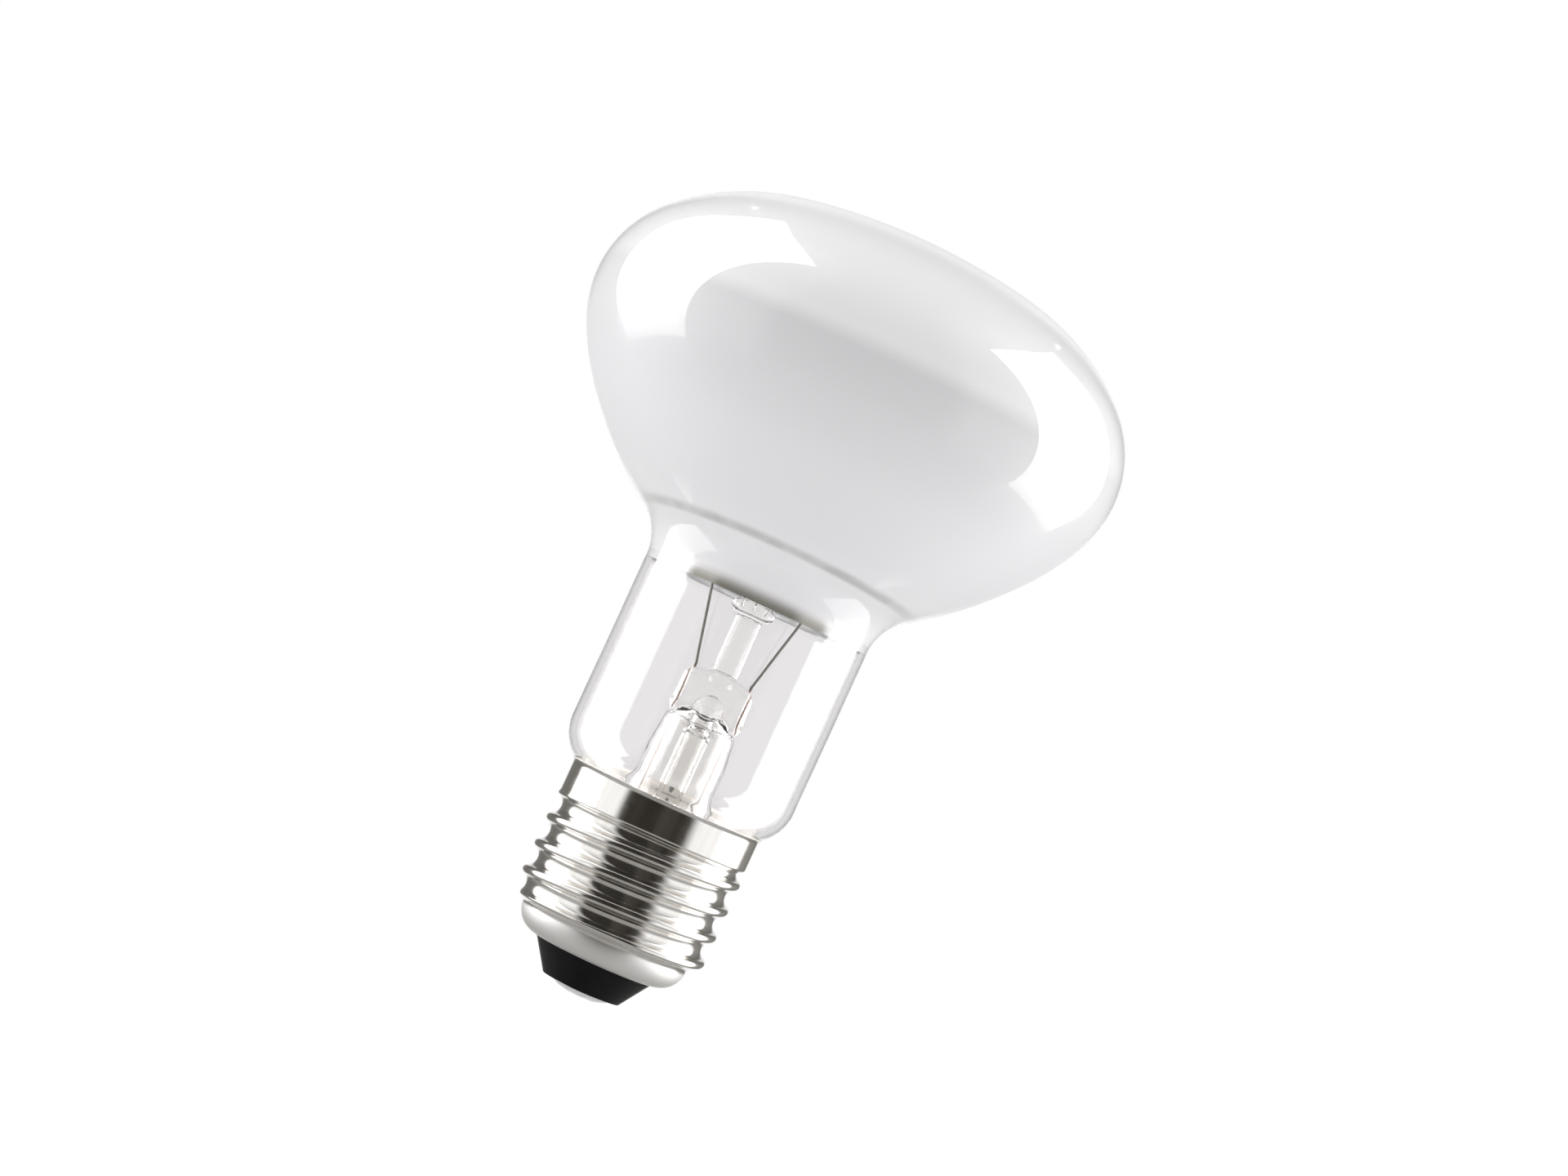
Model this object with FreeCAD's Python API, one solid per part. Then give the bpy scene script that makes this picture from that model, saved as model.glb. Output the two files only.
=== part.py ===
import FreeCAD, Part
import math
import os

# A reflector bulb: a blown glass envelope with a wide mushroom head, held by a screw cap with a
# 27 mm thread. Millimetres and degrees. +Z runs along the lamp from the cap to the dome, and the
# origin is on that axis at the foot of the centre contact.

# Envelope
overall_length = 105.6
head_dia = 72.8
neck_dia = 31.0
glass_wall = 0.8
belly_radius = 15.2
belly_upper_angle = 45.5
belly_lower_angle = 24.7
shoulder_radius = 28.5
dome_edge_slope = 13.1
upper_flank_radius = 34.3
upper_flank_angle = 14.5
lower_flank_radius = 61.0
throat_radius = 6.85
neck_foot_radius = 6.2
neck_foot_rise = 5.0
seal_dia = 24.6
seal_fillet = 1.0
seal_length = 3.2

# Screw cap
cap_height = 27.4
cap_wall = 0.25
collar_dia = 25.8
collar_length = 4.1
lip_flare = 0.45
lip_length = 0.6
thread_dia = 26.3
thread_root_dia = 24.3
thread_pitch = 3.629
thread_crest_flat = 0.36
thread_crest_round = 0.24
thread_round_drop = 0.2
thread_foot_width = 2.3
thread_bite = 0.15
thread_turns = 5
thread_lowest_crest = 6.484
thread_fade_slope = 0.8
thread_end_gap = 0.3
thread_collar_gap = 0.05
collar_step = 0.7
bowl_dia = 22.7
bowl_radius = 3.3
bowl_step = 0.9
bowl_height = 3.3

# Insulator and centre contact
insulator_height = 5.0
insulator_foot_dia = 10.6
insulator_foot_z = 0.95
insulator_depth = 2.6
insulator_bore_dia = 2.2
contact_dia = 10.1
contact_thickness = 0.3
contact_crown = 0.45
contact_stand = 0.05
contact_hole_dia = 1.8
solder_dia = 7.6
solder_foot_dia = 2.4
solder_swell = 0.3

# Side solder joint at the back of the rim
notch_width = 1.6
notch_depth = 1.0
side_solder_width = 3.2
side_solder_height = 2.0
side_solder_stand = 0.8
side_solder_rise = 0.35
cement_depth = 2.8
cement_inner_dia = 23.6

# Glass stem
stem_tube_dia = 10.5
stem_tube_top_dia = 9.5
stem_wall = 0.9
stem_top_wall = 0.55
stem_taper_length = 4.4
stem_bore_top = 37.6
skirt_radius = 4.0
skirt_angle = 75.0
pinch_top = 44.9
pinch_width = 9.8
pinch_thickness = 4.6
stem_crown_dia = 6.55
stem_crown_height = 1.3
oval_point_count = 24
exhaust_dia = 3.6
exhaust_bore_dia = 2.2
exhaust_tip = 16.6
exhaust_flange_dia = 6.8
exhaust_flange_height = 1.3
bubble_dia = 4.2
bubble_height = 2.2
bubble_forward = 1.2
arbor_dia = 3.4
arbor_seat = 0.3
dimple_dia = 2.0
dimple_height = 0.45
button_dia = 5.8
button_height = 1.9
button_z = 53.0

# Sections of the pinch: share of its height, of its width, of its thickness, then squareness
pinch_sections = (
    (0.0, 0.88, 1.5, 2.2),
    (0.14, 0.98, 1.3, 2.4),
    (0.36, 1.0, 1.0, 2.8),
    (0.64, 0.98, 0.98, 2.8),
    (0.81, 0.93, 0.95, 2.8),
    (0.89, 0.8, 0.92, 2.6),
    (0.945, 0.56, 0.9, 2.3),
    (1.0, 0.41, 0.87, 2.0),
)

# Wires and filament
lead_spread = 7.8
seal_wire_dia = 0.4
seal_wire_drop = 0.6
inner_lead_dia = 0.4
lead_heel = 0.5
lead_hook = 1.2
lead_bend = 0.6
lead_knee_bend = 1.2
outer_lead_dia = 0.3
outer_lead_bend = 1.8
centre_wire_turn_in = 2.5
centre_wire_turn_down = 1.5
side_wire_drop = 0.75
side_wire_turn_out = 4.0
side_wire_side_bend = 0.9
side_wire_foot_bend = 0.525
side_wire_across = 0.5
side_wire_back = 0.72
side_wire_end = 0.3
filament_coil_dia = 0.7
filament_ring_dia = 17.2
filament_z = 65.0
support_count = 3
support_dia = 0.2
support_circle_dia = 3.8
support_seat = 1.0
hook_clearance = 0.06

# How far a cutter reaches past what it cuts
cut_margin = 1.0

# Worked-out sizes
head_r = head_dia/2
neck_r = neck_dia/2
seal_r = seal_dia/2
collar_r = collar_dia/2
bore_r = collar_r - cap_wall
lip_z = cap_height - lip_length
collar_z = cap_height - collar_length
root_r = thread_root_dia/2
crest_r = thread_dia/2
neck_end = cap_height - seal_length
seal_bore_r = seal_r - glass_wall
lead_x = lead_spread/2
seal_wire_r = seal_wire_dia/2
side_wire_y = (seal_r + bore_r)/2
button_top = button_z + button_height
plate_top = insulator_foot_z + contact_thickness
bowl_z = insulator_height + bowl_height
bowl_centre_r = bowl_dia/2 - bowl_radius


def at(r, z):
    """A point of a half outline, r from the axis and z up."""
    return FreeCAD.Vector(r, 0, z)


def line(a, b):
    """A straight edge of an outline."""
    return Part.LineSegment(a, b).toShape()


def polyline(points):
    """Straight edges through points, closed back to the first."""
    return [line(a, b) for a, b in zip(points, points[1:] + points[:1])]


def turned(edges):
    """Spins a closed half outline about the axis into a solid."""
    face = Part.Face(Part.Wire(Part.sortEdges(edges)[0]))
    solid = face.revolve(FreeCAD.Vector(0, 0, 0), FreeCAD.Vector(0, 0, 1), 360)
    if solid.Volume < 0:
        solid.reverse()
    return solid


def on_round(centre, radius, angle):
    """The point of a round where its outward normal has this angle from level."""
    lean = math.radians(angle)
    return at(centre[0] + radius*math.cos(lean), centre[1] + radius*math.sin(lean))


def round_edge(centre, radius, first, last):
    """An arc of an outline between two normal angles. A hollow round has a negative radius."""
    middle = (first + last)/2
    points = [on_round(centre, radius, angle) for angle in (first, middle, last)]
    return Part.Arc(*points).toShape()


def next_centre(centre, radius, new_radius, angle):
    """The centre of a round that carries on smoothly from another at a normal angle."""
    lean = math.radians(angle)
    step = radius - new_radius
    return (centre[0] + step*math.cos(lean), centre[1] + step*math.sin(lean))


def capsule_wire(points, radius, bends):
    """A round wire along straight runs, with a smooth bend at each inner point."""
    edges = []
    start = points[0]
    for before, corner, after, bend in zip(points, points[1:], points[2:], bends):
        back = (before - corner).normalize()
        ahead = (after - corner).normalize()
        half_turn = (math.pi - back.getAngle(ahead))/2
        reach = bend*math.tan(half_turn)
        inward = (back + ahead).normalize()
        centre = corner + inward*(bend/math.cos(half_turn))
        first = corner + back*reach
        last = corner + ahead*reach
        edges.append(line(start, first))
        edges.append(Part.Arc(first, centre - inward*bend, last).toShape())
        start = last
    edges.append(line(start, points[-1]))
    path = Part.Wire(edges)
    heading = points[1] - points[0]
    ring = Part.Wire(Part.makeCircle(radius, points[0], heading))
    return path.makePipeShell([ring], True, True)


def envelope_rounds():
    """The rounds of the envelope from the dome's top to the throat, as centre, radius, normals."""
    upper = belly_upper_angle
    lower = -belly_lower_angle
    flank = lower - upper_flank_angle
    edge = 90 - dome_edge_slope
    belly_r = head_r - belly_radius
    shoulder_r = belly_r + (belly_radius - shoulder_radius)*math.cos(math.radians(upper))
    dome_radius = shoulder_radius + shoulder_r/math.cos(math.radians(edge))
    dome = (0, overall_length - dome_radius)
    shoulder = next_centre(dome, dome_radius, shoulder_radius, edge)
    belly = next_centre(shoulder, shoulder_radius, belly_radius, upper)
    upper_flank = next_centre(belly, belly_radius, upper_flank_radius, lower)
    lower_flank = next_centre(upper_flank, upper_flank_radius, lower_flank_radius, flank)
    reach = lower_flank_radius + throat_radius
    throat_angle = -math.degrees(math.acos((neck_r + throat_radius - lower_flank[0])/reach))
    throat = next_centre(lower_flank, lower_flank_radius, -throat_radius, throat_angle)
    return [
        (dome, dome_radius, 90, edge),
        (shoulder, shoulder_radius, edge, upper),
        (belly, belly_radius, upper, lower),
        (upper_flank, upper_flank_radius, lower, flank),
        (lower_flank, lower_flank_radius, flank, throat_angle),
        (throat, -throat_radius, throat_angle, 0),
    ]


def neck_rounds():
    """The rounds where the neck draws in to enter the cap."""
    foot = (neck_r - neck_foot_radius, cap_height + neck_foot_rise)
    reach = neck_foot_radius + seal_fillet
    angle = -math.degrees(math.acos((seal_r + seal_fillet - foot[0])/reach))
    fillet = next_centre(foot, neck_foot_radius, -seal_fillet, angle)
    return [(foot, neck_foot_radius, 0, angle), (fillet, -seal_fillet, angle, 0)]


def envelope_skin(inset):
    """The envelope's outline from the dome's top to the neck's end, set in by a wall."""
    edges = []
    for centre, radius, first, last in envelope_rounds() + neck_rounds():
        edge = round_edge(centre, radius - inset, first, last)
        start = on_round(centre, radius - inset, first)
        if edges and start.distanceToPoint(tip) > 1e-6:
            edges.append(line(tip, start))
        edges.append(edge)
        tip = on_round(centre, radius - inset, last)
    foot = at(seal_r - inset, neck_end)
    edges.append(line(tip, foot))
    return edges, at(0, overall_length - inset), foot


def envelope_solid(inset):
    """All that lies inside an outline of the envelope."""
    edges, top, foot = envelope_skin(inset)
    floor = at(0, neck_end)
    return turned(edges + [line(foot, floor), line(floor, top)])


def glass_bulb():
    """The blown envelope: one thin wall from the dome to the neck's end, open at the neck."""
    outer, outer_top, outer_foot = envelope_skin(0)
    inner, inner_top, inner_foot = envelope_skin(glass_wall)
    return turned(outer + inner + [line(outer_top, inner_top), line(outer_foot, inner_foot)])


def stem_skin(inset):
    """The stem tube's outline from its top down to the skirt's rim, set in by its wall."""
    top_r = stem_tube_top_dia/2 - (stem_top_wall if inset else 0)
    tube_r = stem_tube_dia/2 - inset
    centre_r = stem_tube_dia/2 + skirt_radius
    lean = math.radians(skirt_angle)
    rim_z = neck_end + stem_wall/math.sin(lean)
    edge_r = centre_r - skirt_radius*math.cos(lean)
    fall = (seal_bore_r - edge_r)/math.tan(lean)
    centre = (centre_r, rim_z + fall + skirt_radius*math.sin(lean))
    flare_start = at(tube_r, centre[1])
    flare_end = on_round(centre, -skirt_radius - inset, skirt_angle)
    rim = at(seal_bore_r, rim_z - inset/math.sin(lean))
    top = at(top_r, stem_bore_top)
    shoulder = at(tube_r, stem_bore_top - stem_taper_length)
    edges = [
        line(top, shoulder),
        line(shoulder, flare_start),
        round_edge(centre, -skirt_radius - inset, 0, skirt_angle),
        line(flare_end, rim),
    ]
    return edges, top, rim


def oval(half_width, half_thickness, z, squareness):
    """A closed rounded section of the pinch, between an ellipse and a rectangle."""
    power = 2/squareness
    points = []
    for step in range(oval_point_count):
        turn = 2*math.pi*step/oval_point_count
        across, deep = math.cos(turn), math.sin(turn)
        x = math.copysign(abs(across)**power, across)*half_width
        y = math.copysign(abs(deep)**power, deep)*half_thickness
        points.append(FreeCAD.Vector(x, y, z))
    curve = Part.BSplineCurve()
    curve.interpolate(Points=points, PeriodicFlag=True)
    return Part.Wire(curve.toShape())


def pinch_block():
    """The flat press of glass that grips the wires, from inside the tube's top to the arbor."""
    rise = pinch_top - stem_bore_top
    sections = []
    for height, width, thickness, squareness in pinch_sections:
        wide = pinch_width/2*width
        thick = pinch_thickness/2*thickness
        sections.append(oval(wide, thick, stem_bore_top + rise*height, squareness))
    return Part.makeLoft(sections, True)


def vertical_rod(radius, x, y, low, high):
    """A plain upright round bar."""
    return Part.makeCylinder(radius, high - low, FreeCAD.Vector(x, y, low))


def stem_flare():
    """The flared stem tube, its rim fused to the neck, pressed flat round the wires at its top."""
    outer, outer_top, outer_rim = stem_skin(0)
    inner, inner_top, inner_rim = stem_skin(stem_wall)
    crown = at(stem_crown_dia/2, stem_bore_top + stem_crown_height)
    crown_axis = at(0, crown.z)
    bore_axis = at(0, stem_bore_top)
    cover = [line(outer_top, crown), line(crown, crown_axis), line(crown_axis, bore_axis)]
    tube = turned(outer + inner + [line(outer_rim, inner_rim), line(inner_top, bore_axis)] + cover)
    stem = tube.fuse(pinch_block())
    bubble_z = stem_bore_top + bubble_height
    bubble = Part.makeSphere(bubble_dia/2, FreeCAD.Vector(0, -bubble_forward, bubble_z))
    bore = vertical_rod(exhaust_bore_dia/2, 0, 0, stem_bore_top, bubble_z)
    seat = vertical_rod(arbor_dia/2, 0, 0, pinch_top - arbor_seat, pinch_top + cut_margin)
    stem = stem.cut(bubble.fuse(bore)).cut(seat)
    for side in (-1, 1):
        stem = stem.cut(seal_wire(side))
    return stem


def exhaust_tube():
    """The thin tube the air was pumped out through, spread where it joins and tipped off below."""
    outer_r = exhaust_dia/2
    inner_r = exhaust_bore_dia/2
    top = stem_bore_top
    flange_r = exhaust_flange_dia/2
    neck_z = top - exhaust_flange_height
    tip_round = exhaust_tip + outer_r
    outline = [
        line(at(inner_r, top), at(flange_r, top)),
        line(at(flange_r, top), at(outer_r, neck_z)),
        line(at(outer_r, neck_z), at(outer_r, tip_round)),
        round_edge((0, tip_round), outer_r, 0, -90),
        line(at(0, exhaust_tip), at(0, tip_round)),
        round_edge((0, tip_round + inner_r), inner_r, -90, 0),
        line(at(inner_r, tip_round + inner_r), at(inner_r, top)),
    ]
    return turned(outline)


def arbor_rod():
    """The glass rod fused to the pinch over a small dimple, with its end melted into a button."""
    rod_r = arbor_dia/2
    foot = pinch_top - arbor_seat
    dimple_r = dimple_dia/2
    dimple_top = foot + dimple_height
    dimple_z = foot + (dimple_height**2 - dimple_r**2)/(2*dimple_height)
    dimple_lean = -math.degrees(math.asin((dimple_z - foot)/(dimple_top - dimple_z)))
    half = button_height/2
    waist = button_dia/2 - half
    middle = button_z + half
    outline = [
        round_edge((0, dimple_z), dimple_top - dimple_z, 90, dimple_lean),
        line(at(dimple_r, foot), at(rod_r, foot)),
        line(at(rod_r, foot), at(rod_r, button_z)),
        line(at(rod_r, button_z), at(waist, button_z)),
        round_edge((waist, middle), half, -90, 90),
        line(at(waist, button_top), at(0, button_top)),
        line(at(0, button_top), at(0, dimple_top)),
    ]
    rod = turned(outline)
    for index in range(support_count):
        rod = rod.cut(support_leg(index))
    return rod


def seal_wire(side):
    """The short copper-clad wire that passes through the pinch and seals in its glass."""
    top = lead_joint_z()
    return vertical_rod(seal_wire_r, side*lead_x, 0, stem_bore_top, top)


def lead_joint_z():
    """The height where a seal wire ends and its inner lead goes on."""
    return pinch_top - seal_wire_drop


def support_angle(index):
    """The direction of one support, spaced over the front half of the filament's ring."""
    return -math.pi*(index + 1)/(support_count + 1)


def ring_point(angle):
    """A corner of the filament's ring."""
    radius = filament_ring_dia/2
    return FreeCAD.Vector(radius*math.cos(angle), radius*math.sin(angle), filament_z)


def ring_corners():
    """The filament's corners from the right lead round the front to the left lead."""
    inner = [ring_point(support_angle(index)) for index in range(support_count)]
    return [ring_point(0)] + inner + [ring_point(-math.pi)]


def inner_lead(side):
    """The nickel lead from the pinch up to the filament, with its end bent along the coil."""
    corners = ring_corners()
    corner, beside = (corners[0], corners[1]) if side > 0 else (corners[-1], corners[-2])
    end = corner + (beside - corner).normalize()*lead_hook
    heel = FreeCAD.Vector(side*lead_x, 0, lead_joint_z())
    knee = heel + FreeCAD.Vector(0, 0, lead_heel)
    return capsule_wire([heel, knee, corner, end], inner_lead_dia/2, [lead_knee_bend, lead_bend])


def filament():
    """The tungsten coil as the bar it fills, strung between the leads over the supports."""
    corners = ring_corners()
    corners[0] = corners[0] + (corners[1] - corners[0]).normalize()*lead_hook
    corners[-1] = corners[-1] + (corners[-2] - corners[-1]).normalize()*lead_hook
    radius = filament_coil_dia/2
    coil = None
    for a, b in zip(corners, corners[1:]):
        span = Part.makeCylinder(radius, (b - a).Length, a, b - a)
        coil = span if coil is None else coil.fuse(span)
    for corner in corners[1:-1]:
        coil = coil.fuse(Part.makeSphere(radius, corner))
    return coil.removeSplitter()


def hook_radius():
    """From the middle of the coil to the middle of the hook's wire."""
    return filament_coil_dia/2 + hook_clearance + support_dia/2


def support_leg(index):
    """The straight leg of a support, from inside the button to below the coil."""
    angle = support_angle(index)
    radius = support_circle_dia/2
    foot = FreeCAD.Vector(radius*math.cos(angle), radius*math.sin(angle), button_top - support_seat)
    head = ring_point(angle) - FreeCAD.Vector(0, 0, hook_radius())
    return Part.makeCylinder(support_dia/2, (head - foot).Length, foot, head - foot)


def filament_support(index):
    """A fine molybdenum wire set in the button, with an eye at its tip that holds the coil."""
    angle = support_angle(index)
    normal = FreeCAD.Vector(-math.sin(angle), math.cos(angle), 0)
    eye = Part.makeTorus(hook_radius(), support_dia/2, ring_point(angle), normal)
    return support_leg(index).fuse(eye).removeSplitter()


def centre_wire():
    """The outer lead that runs down past the exhaust tube to the centre contact."""
    points = [
        FreeCAD.Vector(-lead_x, 0, stem_bore_top),
        FreeCAD.Vector(-lead_x, 0, exhaust_tip + centre_wire_turn_in),
        FreeCAD.Vector(0, 0, bowl_z + centre_wire_turn_down),
        FreeCAD.Vector(0, 0, insulator_foot_z),
    ]
    return capsule_wire(points, outer_lead_dia/2, [outer_lead_bend, outer_lead_bend])


def side_wire():
    """The outer lead that turns back up between the neck and the cap to the rim."""
    under = neck_end - side_wire_drop
    points = [
        FreeCAD.Vector(lead_x, 0, stem_bore_top),
        FreeCAD.Vector(lead_x, 0, neck_end + side_wire_turn_out),
        FreeCAD.Vector(lead_x*side_wire_across, side_wire_y*side_wire_back, under),
        FreeCAD.Vector(0, side_wire_y, under),
        FreeCAD.Vector(0, side_wire_y, cap_height - notch_depth + side_wire_end),
    ]
    bends = [outer_lead_bend, side_wire_side_bend, side_wire_foot_bend]
    return capsule_wire(points, outer_lead_dia/2, bends)


def cap_inner_line():
    """The inside of the cap from its rim down to the hole in the bowl, as edges."""
    corners = [
        at(bore_r + lip_flare, cap_height),
        at(bore_r, lip_z),
        at(bore_r, collar_z),
        at(root_r - cap_wall, collar_z - collar_step),
        at(root_r - cap_wall, bowl_z + bowl_step),
        at(bowl_dia/2 - cap_wall, bowl_z),
    ]
    edges = [line(a, b) for a, b in zip(corners, corners[1:])]
    centre = (bowl_centre_r, bowl_z)
    edges.append(round_edge(centre, bowl_radius - cap_wall, 0, -90))
    return edges, corners[0], on_round(centre, bowl_radius - cap_wall, -90)


def cap_blank():
    """The drawn cap before its thread is rolled: collar, flared lip, body and bowl."""
    inner, inner_rim, inner_end = cap_inner_line()
    corners = [
        at(collar_r + lip_flare, cap_height),
        at(collar_r, lip_z),
        at(collar_r, collar_z),
        at(root_r, collar_z - collar_step),
        at(root_r, bowl_z + bowl_step),
        at(bowl_dia/2, bowl_z),
    ]
    outer = [line(a, b) for a, b in zip(corners, corners[1:])]
    centre = (bowl_centre_r, bowl_z)
    outer.append(round_edge(centre, bowl_radius, 0, -90))
    end = on_round(centre, bowl_radius, -90)
    return turned(outer + inner + [line(corners[0], inner_rim), line(end, inner_end)])


def thread_ridge():
    """The rolled thread as a right-hand helical ridge that fades at both ends."""
    helix = Part.makeLongHelix(thread_pitch, thread_turns*thread_pitch, root_r)
    base = root_r - thread_bite
    flat = thread_crest_flat/2
    side = flat + thread_crest_round
    low = crest_r - thread_round_drop
    half = [(base, thread_foot_width/2), (low, side), (crest_r, flat)]
    section = [at(r, z) for r, z in half] + [at(r, -z) for r, z in reversed(half)]
    ridge = Part.Wire(helix.Edges).makePipeShell([Part.Wire(polyline(section))], True, True)
    ridge.translate(at(0, thread_lowest_crest))
    high = collar_z - thread_collar_gap
    foot = bowl_z + thread_end_gap
    outside = crest_r + thread_end_gap
    swell = outside - root_r
    limits = turned(polyline([
        at(base - 1, foot),
        at(root_r, foot),
        at(outside, foot + swell),
        at(outside, high - swell*thread_fade_slope),
        at(root_r, high),
        at(base - 1, high),
    ]))
    return ridge.common(limits)


def notch():
    """The notch in the rim where the side wire comes out."""
    return Part.makeBox(
        notch_width, collar_r, notch_depth + cut_margin,
        FreeCAD.Vector(-notch_width/2, side_wire_y, cap_height - notch_depth),
    )


def cap_shell():
    """The thin plated cap with its rolled thread, notched at the back of the rim."""
    return cap_blank().fuse(thread_ridge()).cut(notch())


def cap_insulator():
    """The black glass poured into the cap's end, with its cone below and a bore for the wire."""
    centre = (bowl_centre_r, bowl_z)
    inside = bowl_radius - cap_wall
    top_z = insulator_height + insulator_depth
    angle = -math.degrees(math.asin((bowl_z - top_z)/inside))
    top_outer = on_round(centre, inside, angle)
    hole_in = on_round(centre, inside, -90)
    hole_out = on_round(centre, bowl_radius, -90)
    foot_r = insulator_foot_dia/2
    plate_r = contact_dia/2
    bore = insulator_bore_dia/2
    outline = [
        line(at(bore, plate_top), at(plate_r, plate_top)),
        line(at(plate_r, plate_top), at(plate_r, insulator_foot_z)),
        line(at(plate_r, insulator_foot_z), at(foot_r, insulator_foot_z)),
        line(at(foot_r, insulator_foot_z), hole_out),
        line(hole_out, hole_in),
        round_edge(centre, inside, -90, angle),
        line(top_outer, at(bore, top_z)),
        line(at(bore, top_z), at(bore, plate_top)),
    ]
    return turned(outline)


def plate_curve(r):
    """The height of the contact plate's crowned face at a radius."""
    sphere = ((contact_dia/2)**2 + contact_crown**2)/(2*contact_crown)
    edge_z = insulator_foot_z - contact_stand
    return edge_z - contact_crown + sphere - math.sqrt(sphere**2 - r**2)


def plate_arc(first, last):
    """An arc along the contact plate's crowned face between two radii."""
    points = [at(r, plate_curve(r)) for r in (first, (first + last)/2, last)]
    return Part.Arc(*points).toShape()


def contact_plate():
    """The crowned metal disc of the centre contact, with a hole for the wire."""
    edge = contact_dia/2
    hole = contact_hole_dia/2
    outline = [
        plate_arc(hole, edge),
        line(at(edge, plate_curve(edge)), at(edge, plate_top)),
        line(at(edge, plate_top), at(hole, plate_top)),
        line(at(hole, plate_top), at(hole, plate_curve(hole))),
    ]
    return turned(outline)


def centre_solder():
    """The solder that fills the contact's hole and spreads over it to a small flat foot."""
    edge = solder_dia/2
    foot = solder_foot_dia/2
    hole = contact_hole_dia/2
    rim_z = plate_curve(edge)
    swell = at((foot + edge)/2, rim_z*solder_swell)
    outline = [
        line(at(0, 0), at(foot, 0)),
        Part.Arc(at(foot, 0), swell, at(edge, rim_z)).toShape(),
        plate_arc(edge, hole),
        line(at(hole, plate_curve(hole)), at(hole, plate_top)),
        line(at(hole, plate_top), at(0, plate_top)),
        line(at(0, plate_top), at(0, 0)),
    ]
    return turned(outline).cut(centre_wire())


def side_solder():
    """The blob of solder that fills the notch and grips the side wire."""
    blob = Part.makeSphere(1)
    stretch = FreeCAD.Matrix()
    stretch.scale(side_solder_width/2, side_solder_stand, side_solder_height/2)
    blob = blob.transformGeometry(stretch)
    blob.translate(FreeCAD.Vector(0, collar_r, cap_height - notch_depth + side_solder_rise))
    below_rim = vertical_rod(head_r, 0, 0, collar_z, cap_height)
    blob = blob.common(below_rim).cut(cap_shell()).cut(envelope_solid(0))
    return blob.cut(side_wire())


def capping_cement():
    """The ring of cement between the neck and the collar."""
    inner, rim, end = cap_inner_line()
    foot = cap_height - cement_depth
    inside = cement_inner_dia/2
    ring = turned(polyline([
        rim, at(bore_r, lip_z), at(bore_r, foot), at(inside, foot), at(inside, cap_height),
    ]))
    ring = ring.cut(envelope_solid(0)).cut(side_wire()).cut(side_solder())
    return ring


def all_parts():
    """Every piece of the lamp under its name."""
    parts = {
        "glass_bulb": glass_bulb(),
        "stem_flare": stem_flare(),
        "exhaust_tube": exhaust_tube(),
        "arbor_rod": arbor_rod(),
        "seal_wire_left": seal_wire(-1),
        "seal_wire_right": seal_wire(1),
        "inner_lead_left": inner_lead(-1),
        "inner_lead_right": inner_lead(1),
        "centre_wire": centre_wire(),
        "side_wire": side_wire(),
        "filament": filament(),
        "cap_shell": cap_shell(),
        "cap_insulator": cap_insulator(),
        "contact_plate": contact_plate(),
        "centre_solder": centre_solder(),
        "side_solder": side_solder(),
        "capping_cement": capping_cement(),
    }
    for index in range(support_count):
        parts[f"filament_support_{index + 1}"] = filament_support(index)
    return parts


os.makedirs("parts", exist_ok=True)
for name, shape in all_parts().items():
    shape.exportStep(f"parts/{name}.step")
    print(name, len(shape.Solids), shape.isValid(), round(shape.Volume, 2))
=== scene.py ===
import math
import bmesh
import bpy
from bpy.props import FloatProperty, FloatVectorProperty, IntProperty, PointerProperty
from mathutils import Matrix, Vector, noise


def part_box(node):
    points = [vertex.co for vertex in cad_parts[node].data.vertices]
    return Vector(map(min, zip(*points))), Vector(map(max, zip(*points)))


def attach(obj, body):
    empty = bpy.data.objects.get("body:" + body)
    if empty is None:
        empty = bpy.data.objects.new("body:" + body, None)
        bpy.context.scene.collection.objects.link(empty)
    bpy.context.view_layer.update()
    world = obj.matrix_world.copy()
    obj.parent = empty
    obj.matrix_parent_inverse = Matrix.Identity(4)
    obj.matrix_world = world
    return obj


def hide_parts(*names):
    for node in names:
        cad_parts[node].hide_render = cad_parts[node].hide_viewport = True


bl_info = {
    "name": "Reflector Bulb",
    "version": (1, 0, 0),
    "blender": (4, 5, 0),
    "location": "3D View > Sidebar > Bulb",
    "description": "Dresses a reflector bulb: mirrored and frosted glass, glass stem, filament and screw cap",
    "category": "Object",
}

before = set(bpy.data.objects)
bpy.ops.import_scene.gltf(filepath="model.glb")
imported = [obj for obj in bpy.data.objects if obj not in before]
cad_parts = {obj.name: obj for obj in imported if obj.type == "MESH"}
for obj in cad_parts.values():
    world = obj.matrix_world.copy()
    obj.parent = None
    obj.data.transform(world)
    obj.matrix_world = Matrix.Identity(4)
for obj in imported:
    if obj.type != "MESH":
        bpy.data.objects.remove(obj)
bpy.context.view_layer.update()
glass_low, glass_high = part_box("glass_bulb")
cap_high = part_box("cap_shell")[1]
plate_low, plate_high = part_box("contact_plate")
solder_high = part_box("centre_solder")[1]
coil_low, coil_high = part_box("filament")
BODY = "root"

# Rounds of the blown envelope, in metres and degrees, from its dome down to its neck
GLASS_WALL = 0.0008
BELLY_RADIUS = 0.0152
BELLY_UPPER_ANGLE = 45.5
BELLY_LOWER_ANGLE = 24.7
SHOULDER_RADIUS = 0.0285
DOME_EDGE_SLOPE = 13.1
UPPER_FLANK_RADIUS = 0.0343
UPPER_FLANK_ANGLE = 14.5
LOWER_FLANK_RADIUS = 0.061
THROAT_RADIUS = 0.00685
NECK_RADIUS = 0.0155
NECK_FOOT_RADIUS = 0.0062
NECK_FOOT_RISE = 0.005
SEAL_RADIUS = 0.0123
SEAL_FILLET = 0.001

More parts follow.
